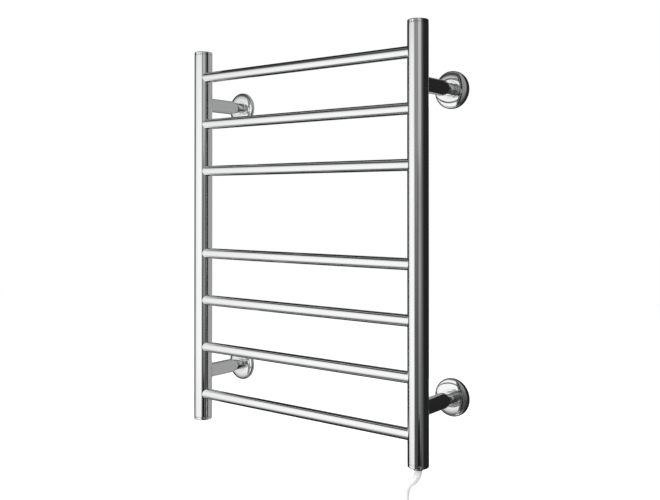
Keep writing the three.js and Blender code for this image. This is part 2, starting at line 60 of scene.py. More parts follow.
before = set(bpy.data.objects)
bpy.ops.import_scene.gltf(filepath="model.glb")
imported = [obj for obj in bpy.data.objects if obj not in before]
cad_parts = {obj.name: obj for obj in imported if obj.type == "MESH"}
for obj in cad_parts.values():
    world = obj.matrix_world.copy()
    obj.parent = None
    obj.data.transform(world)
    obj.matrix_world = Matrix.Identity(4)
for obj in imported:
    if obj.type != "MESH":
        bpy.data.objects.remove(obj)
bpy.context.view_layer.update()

MM = 0.001
GAP = 0.3 * MM  # left wherever two pieces meet
DRILL_GAP = 0.15 * MM  # between a drilled hole and what sits in it
GLAND_STEM = 6.0 * MM  # radius of the gland's stem, which passes the drilled cap
GLAND_FLANGE = 3.6 * MM  # height of the gland's flange
PLUG_WAIST = 9.0 * MM  # height of the plug's straight foot
SHARP_ANGLE = 32.0  # degrees from which an edge stays sharp
PIN_ANGLES = {"earth": 90.0, "live": 210.0, "neutral": 330.0}
SIDES = ("left", "right")
CORNERS = ("left_top", "right_top", "left_bottom", "right_bottom")
BAR_COUNT = sum(name.startswith("bar_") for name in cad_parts)


def size_of(node):
    low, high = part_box(node)
    return high - low


def middle_of(node):
    low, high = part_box(node)
    return (low + high) / 2


# ---------------------------------------------------------------- sizes and finishes


def length_property(name, description, default):
    return bpy.props.FloatProperty(
        name=name, description=description, default=default, min=0.0, unit="LENGTH", precision=5)


def colour_property(name, description, default):
    return bpy.props.FloatVectorProperty(
        name=name, description=description, default=default, size=3, min=0.0, max=1.0, subtype="COLOR")


def factor_property(name, description, default):
    return bpy.props.FloatProperty(
        name=name, description=description, default=default, min=0.0, max=1.0, subtype="FACTOR")


class RackSizes(bpy.types.PropertyGroup):
    upright_diameter: length_property(
        "Upright diameter", "Outside of the upright tubes", size_of("left_upright").x)
    upright_wall: length_property("Upright wall", "Wall of the upright tubes", 1.2 * MM)
    bar_diameter: length_property("Bar diameter", "Outside of the cross bars", size_of("bar_1").z)
    bar_wall: length_property("Bar wall", "Wall of the cross bars", 1.0 * MM)
    cap_height: length_property("Cap height", "Visible height of an end cap", 5.0 * MM)
    cap_edge: length_property("Cap edge", "Rounding of an end cap", 1.6 * MM)
    cap_spigot: length_property("Cap spigot", "Length that a cap reaches into its tube", 8.0 * MM)
    cap_spigot_wall: length_property("Cap spigot wall", "Wall of a cap's spigot", 2.2 * MM)


class BracketSizes(bpy.types.PropertyGroup):
    sleeve_diameter: length_property("Sleeve diameter", "Outside of a stand-off sleeve", 23.0 * MM)
    sleeve_bore: length_property("Sleeve bore", "Bore that takes the post", 16.0 * MM)
    sleeve_chamfer: length_property("Sleeve chamfer", "Chamfer at the wall end", 0.8 * MM)
    post_diameter: length_property("Post diameter", "Visible stub of a wall post", 19.0 * MM)
    post_visible: length_property("Post length", "From the wall to the sleeve", 29.0 * MM)
    spigot_length: length_property("Spigot length", "Part of a post inside its sleeve", 30.0 * MM)
    cover_diameter: length_property("Cover diameter", "Outside of a wall cover", 56.0 * MM)
    cover_height: length_property("Cover height", "From the wall to the cover's face", 8.4 * MM)
    cover_shell: length_property("Cover shell", "Sheet thickness of a cover", 1.1 * MM)
    cover_rim: length_property("Cover rim", "Straight part of a cover's edge", 3.2 * MM)
    cover_dome: length_property("Cover dome", "Width of the domed face", 15.0 * MM)
    collar_width: length_property("Collar width", "Raised ring round the post", 3.0 * MM)
    collar_height: length_property("Collar height", "Height of that ring", 1.0 * MM)
    plate_diameter: length_property("Plate diameter", "Wall plate under a cover", 50.0 * MM)
    plate_thickness: length_property("Plate thickness", "Thickness of a wall plate", 3.0 * MM)
    plate_hole: length_property("Plate hole", "Holes for the wall screws", 5.2 * MM)
    plate_hole_spacing: length_property("Hole spacing", "Between the two wall screws", 34.0 * MM)
    grub_diameter: length_property("Grub screw", "Diameter of a grub screw", 4.9 * MM)
    grub_from_end: length_property("Grub screw place", "From the sleeve's wall end", 10.0 * MM)
    grub_recess: length_property("Grub screw recess", "Below the sleeve's surface", 0.5 * MM)
    screw_diameter: length_property("Post screw", "Thread of the post's screw", 5.0 * MM)
    screw_length: length_property("Post screw length", "Thread past the plate", 13.0 * MM)
    screw_head: length_property("Post screw head", "Countersunk head", 9.2 * MM)


class LeadSizes(bpy.types.PropertyGroup):
    cord_diameter: length_property("Cord diameter", "Outside of the mains lead", 6.0 * MM)
    bend_radius: length_property("Bend radius", "Bends of the free lead", 25.0 * MM)
    bend_angle: bpy.props.FloatProperty(
        name="Bend angle", description="Lean of the lead below the gland",
        default=math.radians(50.0), min=0.0, max=math.radians(80.0), subtype="ANGLE")
    hank_run: length_property("Hank run", "Straight part of each fold of the hank", 101.0 * MM)
    fold_drop: length_property("Fold drop", "Top folds below the hank's top", 7.0 * MM)
    hank_layers: bpy.props.IntProperty(
        name="Hank layers", description="Layers of the folded lead", default=5, min=2, max=12)
    relief_length: length_property("Strain relief", "Tapered sleeve under the gland", 24.0 * MM)
    relief_top: length_property("Relief top", "Diameter at the gland", 11.5 * MM)
    relief_tip: length_property("Relief tip", "Diameter at its lower end", 8.4 * MM)
    tie_height: length_property("Tie height", "Width of the band round the hank", 9.0 * MM)
    tie_thickness: length_property("Tie thickness", "Thickness of that band", 1.2 * MM)
    plug_length: length_property("Plug length", "Body of the plug without its tail", 40.0 * MM)
    plug_corner: length_property("Plug corner", "Rounding of the plug's upright edges", 5.0 * MM)
    plug_top_share: factor_property("Plug top", "Top of the plug against its foot", 0.62)


class RackFinishes(bpy.types.PropertyGroup):
    steel: colour_property("Polished steel", "Tint of the mirror finish", (0.93, 0.935, 0.94))
    steel_roughness: factor_property("Steel roughness", "Gloss of the mirror finish", 0.045)
    zinc: colour_property("Zinc", "Plated plates and screws", (0.62, 0.64, 0.66))
    brass: colour_property("Brass", "Plug pins and earth tag", (0.72, 0.53, 0.22))
    white_pvc: colour_property("Lead", "White jacket and plug", (0.91, 0.91, 0.90))
    tie: colour_property("Tie", "Band round the hank", (0.86, 0.86, 0.84))


SIZE_GROUPS = (("rack_sizes", RackSizes), ("bracket_sizes", BracketSizes),
               ("lead_sizes", LeadSizes), ("rack_finishes", RackFinishes))

# ---------------------------------------------------------------- modelling tools


def clear_selection():
    if bpy.context.mode != "OBJECT":
        bpy.ops.object.mode_set(mode="OBJECT")
    bpy.ops.object.select_all(action="DESELECT")


def start_edit():
    bpy.ops.object.mode_set(mode="EDIT")


def end_edit():
    bpy.ops.object.mode_set(mode="OBJECT")


def select_all():
    bpy.ops.mesh.select_all(action="SELECT")


def take(piece):
    """Makes one piece the only selected and the active one."""
    clear_selection()
    piece.select_set(True)
    bpy.context.view_layer.objects.active = piece


def named(name):
    piece = bpy.context.active_object
    piece.name = piece.data.name = name
    return piece


def apply_modifier(piece, kind, **values):
    take(piece)
    modifier = piece.modifiers.new(kind.title(), kind)
    for key, value in values.items():
        setattr(modifier, key, value)
    bpy.ops.object.modifier_apply(modifier=modifier.name)


def bevelled(piece, width, segments, angle=40.0):
    """Rounds the edges that turn by more than an angle in degrees."""
    apply_modifier(piece, "BEVEL", width=width, segments=segments, limit_method="ANGLE",
                   angle_limit=math.radians(angle))


def settle(piece):
    """Puts the piece's place into its mesh, so that its object lies at the origin."""
    take(piece)
    bpy.ops.object.transform_apply(location=True, rotation=True, scale=True)


def smooth(piece, angle=SHARP_ANGLE):
    """Smooth shading with sharp creases, flat faces kept flat beside their rounded edges."""
    take(piece)
    bpy.ops.object.shade_smooth_by_angle(angle=math.radians(angle))
    apply_modifier(piece, "WEIGHTED_NORMAL", keep_sharp=True)


AXES = {  # the axis of turning, and the direction in which a radius is laid off
    "X": (Vector((1, 0, 0)), Vector((0, 0, 1))),
    "Y": (Vector((0, -1, 0)), Vector((0, 0, 1))),
    "Z": (Vector((0, 0, 1)), Vector((1, 0, 0))),
}


def eased(outline, cut, steps=3):
    """The closed outline with each corner rounded, its points being (radius, distance along the axis)."""
    points = [Vector(p) for p in outline]
    result = []
    for i, corner in enumerate(points):
        before, after = points[i - 1] - corner, points[(i + 1) % len(points)] - corner
        if before.length < 1e-9 or after.length < 1e-9 or corner.x < 1e-9:
            result.append(corner)
            continue
        near = min(cut, before.length * 0.45, after.length * 0.45)
        first, last = corner + before.normalized() * near, corner + after.normalized() * near
        for step in range(steps + 1):
            share = step / steps
            result.append(first.lerp(corner, share).lerp(corner.lerp(last, share), share))
    return [tuple(p) for p in result]


def spun(name, outline, place, axis="Z", steps=96):
    """Turns a closed outline of (radius, distance) about an axis through a place.

    A flat start is merged to one point, drawn out along the outline and spun.
    """
    along, out = AXES[axis]
    place = Vector(place)
    points = [place + out * radius + along * distance for radius, distance in outline]
    clear_selection()
    bpy.ops.mesh.primitive_plane_add(size=MM, location=points[0])
    bpy.ops.object.transform_apply(location=True)
    piece = named(name)
    start_edit()
    bpy.ops.mesh.select_mode(type="VERT")
    select_all()
    bpy.ops.mesh.merge(type="CENTER")
    for start, end in zip(points, [*points[1:], points[0]]):
        bpy.ops.mesh.extrude_region_move(TRANSFORM_OT_translate={"value": end - start})
    select_all()
    bpy.ops.mesh.remove_doubles(threshold=1e-7)
    bpy.ops.mesh.delete_loose(use_verts=True, use_edges=False, use_faces=False)
    select_all()
    bpy.ops.mesh.spin(steps=steps, angle=2 * math.pi, center=place, axis=along)
    select_all()
    bpy.ops.mesh.remove_doubles(threshold=1e-6)
    bpy.ops.mesh.delete_loose(use_verts=True, use_edges=True, use_faces=False)
    select_all()
    bpy.ops.mesh.normals_make_consistent(inside=False)
    end_edit()
    return piece


def ring(outer, inner, start, end):
    """The outline of a tube."""
    return [(inner, start), (outer, start), (outer, end), (inner, end)]


def rod(radius, start, end):
    """The outline of a solid round."""
    return [(0.0, start), (radius, start), (radius, end), (0.0, end)]


def block(name, low, high):
    """A box between two corners, ready for shaping."""
    low, high = Vector(low), Vector(high)
    clear_selection()
    bpy.ops.mesh.primitive_cube_add(size=1, location=(low + high) / 2, scale=high - low)
    bpy.ops.object.transform_apply(location=True, rotation=True, scale=True)
    return named(name)


def duplicate(piece, name, move=(0.0, 0.0, 0.0), turn=0.0):
    """A copy with its own mesh, turned about the vertical through the origin and then moved."""
    take(piece)
    bpy.ops.object.duplicate()
    copy = named(name)
    copy.rotation_euler.z = turn
    copy.location = move
    settle(copy)
    return copy


def hexagon(radius, depth, place, turn=0.0):
    """The cutter of a hexagon socket, its axis upright or turned about X."""
    clear_selection()
    bpy.ops.mesh.primitive_cylinder_add(
        vertices=6, radius=radius, depth=depth, location=place, rotation=(turn, 0.0, 0.0))
    bpy.ops.object.transform_apply(location=True, rotation=True)
    return named("hexagon")


def combine(piece, tools, operation="DIFFERENCE"):
    """Cuts the tools out of the piece, or adds them to it, and removes them."""
    for tool in tools:
        apply_modifier(piece, "BOOLEAN", operation=operation, object=tool, solver="EXACT")
        bpy.data.objects.remove(tool)
    take(piece)
    start_edit()
    select_all()
    bpy.ops.mesh.remove_doubles(threshold=1e-6)
    end_edit()


def drilled(piece, tools):
    """Cuts the tools out of a smooth round piece and keeps the round's own shading beside the cuts."""
    uncut = duplicate(piece, "uncut_round")
    combine(piece, tools)
    take(piece)
    bpy.ops.object.shade_smooth_by_angle(angle=math.radians(SHARP_ANGLE))
    apply_modifier(
        piece, "DATA_TRANSFER", object=uncut, use_loop_data=True,
        data_types_loops={"CUSTOM_NORMAL"}, loop_mapping="POLYINTERP_NEAREST")
    bpy.data.objects.remove(uncut)


def select_faces(piece, wanted):
    """In edit mode, selects the faces whose centre and normal pass the test."""
    bpy.ops.mesh.select_all(action="DESELECT")
    end_edit()
    for face in piece.data.polygons:
        face.select = wanted(face.center, face.normal)
    start_edit()


def select_edges(piece, wanted):
    """In edit mode, selects the edges whose two ends pass the test."""
    bpy.ops.mesh.select_mode(type="EDGE")
    bpy.ops.mesh.select_all(action="DESELECT")
    end_edit()
    vertices = piece.data.vertices
    for edge in piece.data.edges:
        edge.select = wanted(*(vertices[i].co for i in edge.vertices))
    start_edit()


def coat(piece, material):
    """The piece has this one material."""
    piece.data.materials.clear()
    piece.data.materials.append(material)


def belongs(piece, body, slot, *nodes):
    """The piece rides on a body and stands for its nodes, which are hidden. The slot is not used."""
    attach(piece, body)
    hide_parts(*nodes)


def wall_place(corner):
    """Where a bracket's axis meets the wall."""
    place = middle_of(f"{corner}_plate")
    place.y = 0.0
    return place


def at_corners(first, *rows):
    """Copies bracket models from a first place to the four corners, then removes the models.

    A row is a model and its copies' name, body, slot and node, where {} stands for the corner.
    """
    for corner in CORNERS:
        move = wall_place(corner) - first
        for model, name, body, slot, node in rows:
            copy = duplicate(model, name.format(corner), move)
            belongs(copy, body.format(corner), slot, node.format(corner))
    for model, *_ in rows:
        bpy.data.objects.remove(model)


# ---------------------------------------------------------------- materials


class Tree:
    """Shorthand for building a node tree."""

    def __init__(self, tree):
        self.tree = tree

    def add(self, kind, inputs=(), **values):
        node = self.tree.nodes.new(kind)
        for key, value in values.items():
            setattr(node, key, value)
        for key, value in dict(inputs).items():
            if isinstance(value, bpy.types.NodeSocket):
                self.tree.links.new(value, node.inputs[key])
            else:
                node.inputs[key].default_value = value
        return node

    def math(self, operation, *values):
        return self.add("ShaderNodeMath", enumerate(values), operation=operation).outputs[0]

    def mix(self, factor, first, second):
        node = self.add("ShaderNodeMix", data_type="RGBA")
        for socket, value in ((node.inputs[0], factor), (node.inputs[6], first), (node.inputs[7], second)):
            if isinstance(value, bpy.types.NodeSocket):
                self.tree.links.new(value, socket)
            else:
                socket.default_value = value
        return node.outputs[2]

    def ramp(self, factor, stops):
        """A grey ramp through (position, grey) stops."""
        node = self.add("ShaderNodeValToRGB", {"Fac": factor})
        elements = node.color_ramp.elements
        elements[0].position, elements[1].position = stops[0][0], stops[-1][0]
        for position, grey in stops[1:-1]:
            elements.new(position)
        for element, (position, grey) in zip(elements, stops):
            element.color = (grey, grey, grey, 1.0)
        return node.outputs["Color"]

    def product(self, first, second, factor=1.0):
        mixed = self.mix(factor, first, second)
        mixed.node.blend_type = "MULTIPLY"
        return mixed

    def noise(self, vector, scale, detail=2.0):
        return self.add(
            "ShaderNodeTexNoise", {"Vector": vector, "Scale": scale, "Detail": detail}).outputs["Fac"]


def new_group(name, sockets_in, sockets_out):
    group = bpy.data.node_groups.new(name, "ShaderNodeTree")
    for socket, kind, default in sockets_in:
        made = group.interface.new_socket(name=socket, in_out="INPUT", socket_type=kind)
        if default is not None:
            made.default_value = default
    for socket, kind in sockets_out:
        group.interface.new_socket(name=socket, in_out="OUTPUT", socket_type=kind)
    tree = Tree(group)
    return group, tree, tree.add("NodeGroupInput"), tree.add("NodeGroupOutput")


def polish_group():
    """Fine polishing marks, drawn out along the piece, under a faint haze."""
    group, tree, given, out = new_group(
        "Polishing marks",
        [("Vector", "NodeSocketVector", None), ("Colour", "NodeSocketColor", (0.9, 0.9, 0.9, 1.0)),
         ("Gloss", "NodeSocketFloat", 0.05), ("Marks", "NodeSocketFloat", 0.02),
         ("Haze", "NodeSocketFloat", 0.02)],
        [("Colour", "NodeSocketColor"), ("Roughness", "NodeSocketFloat"), ("Height", "NodeSocketFloat")])
    marks = tree.noise(given.outputs["Vector"], 900.0, 3.0)
    place = tree.add("ShaderNodeTexCoord").outputs["Object"]
    haze = tree.noise(place, 14.0, 4.0)
    roughness = tree.math("ADD", given.outputs["Gloss"], tree.math(
        "ADD", tree.math("MULTIPLY", marks, given.outputs["Marks"]),
        tree.math("MULTIPLY", haze, given.outputs["Haze"])))
    dull = tree.math("MULTIPLY", haze, 0.06)
    darker = tree.mix(dull, given.outputs["Colour"], (0.6, 0.61, 0.62, 1.0))
    tree.tree.links.new(darker, out.inputs["Colour"])
    tree.tree.links.new(roughness, out.inputs["Roughness"])
    tree.tree.links.new(marks, out.inputs["Height"])
    return group


def moulded_group():
    """Moulded plastic: a fine eggshell grain, faint flow clouds and slightly uneven gloss."""
    group, tree, given, out = new_group(
        "Moulded surface",
        [("Vector", "NodeSocketVector", None), ("Colour", "NodeSocketColor", (0.8, 0.8, 0.8, 1.0)),
         ("Gloss", "NodeSocketFloat", 0.4), ("Grain", "NodeSocketFloat", 1400.0)],
        [("Colour", "NodeSocketColor"), ("Roughness", "NodeSocketFloat"), ("Height", "NodeSocketFloat")])
    clouds = tree.noise(given.outputs["Vector"], 45.0, 3.0)
    grain = tree.noise(given.outputs["Vector"], given.outputs["Grain"], 2.0)
    shade = tree.math("MULTIPLY", clouds, 0.08)
    darker = tree.product(given.outputs["Colour"], (0.82, 0.82, 0.80, 1.0))
    colour = tree.mix(shade, given.outputs["Colour"], darker)
    roughness = tree.math("ADD", given.outputs["Gloss"], tree.math("MULTIPLY", grain, 0.12))
    tree.tree.links.new(colour, out.inputs["Colour"])
    tree.tree.links.new(roughness, out.inputs["Roughness"])
    tree.tree.links.new(grain, out.inputs["Height"])
    return group


def material_from(name, group, stretch, colour, gloss, bump, metallic=0.0, **extra):
    """A principled material whose colour, roughness and bump come from a shared group."""
    material = bpy.data.materials.new(name)
    material.use_nodes = True
    tree = Tree(material.node_tree)
    shader = material.node_tree.nodes["Principled BSDF"]
    place = tree.add("ShaderNodeTexCoord").outputs["Object"]
    drawn = tree.add("ShaderNodeMapping", {"Vector": place, "Scale": stretch})
    effect = tree.add("ShaderNodeGroup", node_tree=bpy.data.node_groups[group])
    links = material.node_tree.links
    links.new(drawn.outputs["Vector"], effect.inputs["Vector"])
    effect.inputs["Colour"].default_value = (*colour, 1.0)
    effect.inputs["Gloss"].default_value = gloss
    for key, value in extra.items():
        effect.inputs[key].default_value = value
    links.new(effect.outputs["Colour"], shader.inputs["Base Color"])
    links.new(effect.outputs["Roughness"], shader.inputs["Roughness"])
    relief = tree.add(
        "ShaderNodeBump", {"Height": effect.outputs["Height"], "Strength": 1.0, "Distance": bump})
    links.new(relief.outputs["Normal"], shader.inputs["Normal"])
    shader.inputs["Metallic"].default_value = metallic
    return material


ALONG = {  # marks drawn out along one axis
    "X": (0.02, 1.0, 1.0),
    "Y": (1.0, 0.02, 1.0),
    "Z": (1.0, 1.0, 0.02),
    "": (1.0, 1.0, 1.0),
}


def steel(along):
    """The mirror-polished steel, with its polishing marks along one axis."""
    name = f"Polished steel {along}".strip()
    found = bpy.data.materials.get(name)
    if found:
        return found
    finish = bpy.context.scene.rack_finishes
    return material_from(
        name, "Polishing marks", ALONG[along], finish.steel, finish.steel_roughness, 1.2e-6,
        metallic=1.0, Marks=0.03, Haze=0.03)


def plated(name, colour, gloss, along=""):
    return material_from(
        name, "Polishing marks", ALONG[along], colour, gloss, 6e-6, metallic=1.0, Marks=0.2, Haze=0.15)


def moulded(name, colour, gloss, bump=6e-6, grain=1400.0):
    return material_from(
        name, "Moulded surface", ALONG[""], colour, gloss, bump, Grain=grain)


# ---------------------------------------------------------------- camera and lead

EXIT = Vector((middle_of("right_upright").x, middle_of("right_upright").y,
               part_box("cable_gland")[0].z))


def lean_points(sizes, start, direction):
    """Two equal and opposite bends that shift a falling lead sideways by twice one bend's shift."""
    steps = 8
    radius, angle = sizes.bend_radius, sizes.bend_angle
    points = []
    for step in range(1, steps + 1):
        turn = angle * step / steps
        points.append((radius * (1 - math.cos(turn)), radius * math.sin(turn)))
    shift, drop = points[-1]
    for step in range(steps - 1, -1, -1):
        turn = angle * step / steps
        points.append((2 * shift - radius * (1 - math.cos(turn)), 2 * drop - radius * math.sin(turn)))
    return [start + direction * across + Vector((0, 0, -down)) for across, down in points]


def hank_facts(sizes):
    """Where the hank lies, from the frame's own block."""
    low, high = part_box("cord_hank")
    radius = sizes.cord_diameter / 2
    return {
        "x": (low.x + high.x) / 2, "top": high.z,
        "first_y": low.y + radius, "pitch": sizes.cord_diameter,
        "fold": (high.x - low.x) / 2 - radius, "half_height": (high.z - low.z) / 2,
        "middle": (low.z + high.z) / 2,
    }


def lead_route(sizes):
    """The lead's centre line: out of the gland, round the hank's folds and into the plug's tail."""
    left = Vector((-1, 0, 0))
    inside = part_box("cord")[1].z
    facts = hank_facts(sizes)
    fold, last = facts["fold"], sizes.hank_layers - 1
    lower, upper, outer = sizes.hank_run / 2, sizes.hank_run / 2 - sizes.fold_drop, facts["half_height"]
    held = sizes.tie_height / 2 + MM
    waist = (size_of("cord_tie").x - 2 * sizes.tie_thickness - 2 * GAP) / 2 - sizes.cord_diameter / 2
    steps = 18
    points = [Vector((EXIT.x, EXIT.y, inside)), EXIT + Vector((0, 0, 6 * MM)), EXIT.copy()]
    points += lean_points(sizes, EXIT, left)
    points.append(Vector((facts["x"], facts["first_y"], facts["top"] + 4 * MM)))

    def place(across, layer, height):
        points.append(Vector((
            facts["x"] + across, facts["first_y"] + layer * facts["pitch"], facts["middle"] + height)))

    def run(side, layer, start, end, ends_at):
        """One strand between two heights, drawn in where the tie holds it.

        Past the tie it spreads to the fold's radius, or back to the middle where it enters or leaves.
        """
        for step in range(1, steps):
            height = start + (end - start) * step / steps
            spread, limit = ends_at[0] if height > 0 else ends_at[1]
            share = min(max(abs(height) - held, 0.0) / (limit - held), 1.0)
            place(side * (waist + (spread - waist) * (1 - math.cos(math.pi * share)) / 2), layer, height)

    def turn(layer, lowest, passes_on):
        """One fold, half a circle, that can pass on to the next layer."""
        for step in range(steps + 1):
            angle = math.pi * step / steps
            passed = (1 - math.cos(angle)) / 2 if layer < last - 1 else max(2 * step / steps - 1, 0.0)
            rise = fold * math.sin(angle)
            place((1 if lowest else -1) * fold * math.cos(angle),
                  layer + (passed if passes_on else 0.0), -lower - rise if lowest else upper + rise)

    above, below, centre = (fold, upper), (fold, lower), (0.0, outer)
    place(0.0, 0, outer)
    run(1, 0, outer, -lower, (centre, below))
    for layer in range(last):
        turn(layer, True, True)
        run(-1, layer + 1, -lower, upper, (above, below))
        turn(layer + 1, False, False)
        if layer < last - 1:
            run(1, layer + 1, upper, -lower, (above, below))
    run(1, last, upper, -outer, (above, centre))
    for depth in (0.0, 5.0, 11.0):
        place(0.0, last, -outer - depth * MM)
    return points


class RACK_OT_camera(bpy.types.Operator):
    """Adds the camera, looking at the rack from the front right at the height of its middle"""

    bl_idname = "rack.camera"
    bl_label = "Camera"

    def execute(self, context):
        clear_selection()
        bpy.ops.object.camera_add(
            location=(0.8326, -1.0979, 0.0632),
            rotation=(math.radians(90.375), 0.0, math.radians(37.863)))
        camera = bpy.context.active_object
        camera.name = "camera"
        camera.data.sensor_width = 36.0
        camera.data.lens = 46.03
        camera.data.shift_x = 0.0033
        camera.data.shift_y = -0.0832
        camera.data.dof.use_dof = False
        context.scene.camera = camera
        return {"FINISHED"}


class RACK_OT_lead(bpy.types.Operator):
    """Adds the mains lead, one round cord from the gland through its folded hank to the plug"""

    bl_idname = "rack.lead"
    bl_label = "Mains lead"

    def execute(self, context):
        sizes, finish = context.scene.lead_sizes, context.scene.rack_finishes
        route = lead_route(sizes)
        curve = bpy.data.curves.new("mains_lead", "CURVE")
        curve.dimensions = "3D"
        curve.bevel_depth = sizes.cord_diameter / 2
        curve.bevel_resolution = 6
        curve.use_fill_caps = True
        spline = curve.splines.new("POLY")
        spline.points.add(len(route) - 1)
        for point, place in zip(spline.points, route):
            point.co = (*place, 1.0)
        spline.use_smooth = True
        lead = bpy.data.objects.new("mains_lead", curve)
        context.scene.collection.objects.link(lead)
        coat(lead, moulded("White lead jacket", finish.white_pvc, 0.34, 3e-6, 900.0))
        belongs(lead, "rack", "white_pvc", "cord", "cord_hank")
        return {"FINISHED"}


class RACK_OT_plug(bpy.types.Operator):
    """Adds the moulded plug with its tail and three flat pins, and the tie round the hank"""

    bl_idname = "rack.plug"
    bl_label = "Plug and tie"

    def execute(self, context):
        sizes, finish = context.scene.lead_sizes, context.scene.rack_finishes
        plug = self.shell(sizes)
        coat(plug, moulded("White plug", finish.white_pvc, 0.30, 5e-6, 1100.0))
        belongs(plug, "rack", "white_pvc", "plug_body")
        brass = plated("Brass", finish.brass, 0.16, "Z")
        for name, angle in PIN_ANGLES.items():
            pin = self.pin(name, math.radians(angle))
            coat(pin, brass)
            belongs(pin, "rack", "brass", f"plug_pin_{name}")
        tie = self.tie(sizes)
        coat(tie, moulded("Tie", finish.tie, 0.45, 8e-6, 1600.0))
        belongs(tie, "rack", "tie_plastic", "cord_tie")
        return {"FINISHED"}

    def shell(self, sizes):
        low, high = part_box("plug_body")
        foot, top = low.z, low.z + sizes.plug_length
        x, y = (low.x + high.x) / 2, (low.y + high.y) / 2
        plug = block("plug_shell", (low.x, low.y, foot), (high.x, high.y, top))
        start_edit()
        select_edges(plug, lambda a, b: abs(a.x - b.x) < GAP and abs(a.y - b.y) < GAP)
        bpy.ops.mesh.bevel(offset=sizes.plug_corner, segments=8)
        bpy.ops.mesh.select_mode(type="FACE")
        waist_height = foot + PLUG_WAIST
        select_all()
        bpy.ops.mesh.bisect(plane_co=(x, y, waist_height), plane_no=(0, 0, 1))
        select_faces(plug, lambda centre, normal: normal.z > 0.9)
        share = sizes.plug_top_share
        bpy.ops.transform.resize(value=(share, share, 1.0))
        grips = [waist_height + (top - waist_height) * share for share in (0.35, 0.5, 0.65)]
        for height in grips:
            for offset in (-1.1 * MM, 1.1 * MM):
                select_all()
                bpy.ops.mesh.bisect(plane_co=(x, y, height + offset), plane_no=(0, 0, 1))
        end_edit()
        bevelled(plug, 1.0 * MM, 4)
        take(plug)
        start_edit()

        def in_grip(centre, normal):
            level = any(abs(centre.z - height) < 1.0 * MM for height in grips)
            return level and abs(normal.x) > 0.9 and abs(centre.y - y) < 9 * MM

        select_faces(plug, in_grip)
        bpy.ops.mesh.inset(thickness=0.35 * MM, depth=-0.6 * MM)
        end_edit()
        tail_low = top - 2 * MM
        tail_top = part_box("plug_body")[1].z
        outline = [(0.0, tail_low), (6.4 * MM, tail_low)]
        ribs = 4
        pitch = (tail_top - top - MM) / ribs
        for rib in range(ribs):
            base = top + rib * pitch
            radius = (6.1 - 0.25 * rib) * MM
            outline += [(radius, base + 0.2 * MM), (radius, base + pitch * 0.62),
                        (radius - 0.7 * MM, base + pitch * 0.72), (radius - 0.7 * MM, base + pitch * 0.92)]
        outline += [(4.9 * MM, tail_top - 0.8 * MM), (4.2 * MM, tail_top), (0.0, tail_top)]
        tail = spun("plug_tail", eased(outline, 0.25 * MM, 2), (x, y, 0.0), "Z", 48)
        combine(plug, [tail], "UNION")
        slots = [self.blade(f"slot_{name}", math.radians(angle), 0.25 * MM)
                 for name, angle in PIN_ANGLES.items()]
        combine(plug, slots)
        smooth(plug)
        return plug

    def blade(self, name, angle, margin):
        """A flat blade on the pin circle: a pin, or with a margin the slot that it sits in."""
        low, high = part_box("plug_pin_earth")
        centre = middle_of("plug_body")
        radius = middle_of("plug_pin_earth").y - centre.y
        thick, wide = high.x - low.x, high.y - low.y
        place = Vector((centre.x + radius, centre.y, 0.0))
        blade = block(
            name, (place.x - wide / 2 - margin, place.y - thick / 2 - margin, low.z),
            (place.x + wide / 2 + margin, place.y + thick / 2 + margin, high.z + margin))
        start_edit()
        select_all()
        bpy.ops.transform.rotate(value=-angle, orient_axis="Z", center_override=(centre.x, centre.y, 0.0))
        end_edit()
        return blade

    def pin(self, name, angle):
        pin = self.blade(f"pin_{name}", angle, 0.0)
        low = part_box("plug_pin_earth")[0].z
        start_edit()
        select_edges(pin, lambda a, b: a.z < low + GAP and b.z < low + GAP)
        bpy.ops.mesh.bevel(offset=0.5 * MM, segments=3)
        end_edit()
        bevelled(pin, 0.2 * MM, 3)
        smooth(pin)
        return pin

    def tie(self, sizes):
        low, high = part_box("cord_tie")
        tie = block("hank_tie", low, high)
        start_edit()
        select_faces(tie, lambda centre, normal: abs(normal.z) > 0.9)
        bpy.ops.mesh.delete(type="FACE")
        select_edges(tie, lambda a, b: abs(a.x - b.x) < GAP and abs(a.y - b.y) < GAP)
        bpy.ops.mesh.bevel(offset=3.4 * MM, segments=8)
        end_edit()
        apply_modifier(tie, "SOLIDIFY", thickness=sizes.tie_thickness, offset=-1.0)
        bevelled(tie, 0.3 * MM, 3, 50.0)
        x = (low.x + high.x) / 2
        head = block(
            "tie_head", (x - 4.5 * MM, low.y - 2.2 * MM, low.z + 0.6 * MM),
            (x + 2.5 * MM, low.y + 0.6 * MM, high.z - 0.6 * MM))
        bevelled(head, 0.6 * MM, 4, 30.0)
        combine(tie, [head], "UNION")
        smooth(tie)
        return tie


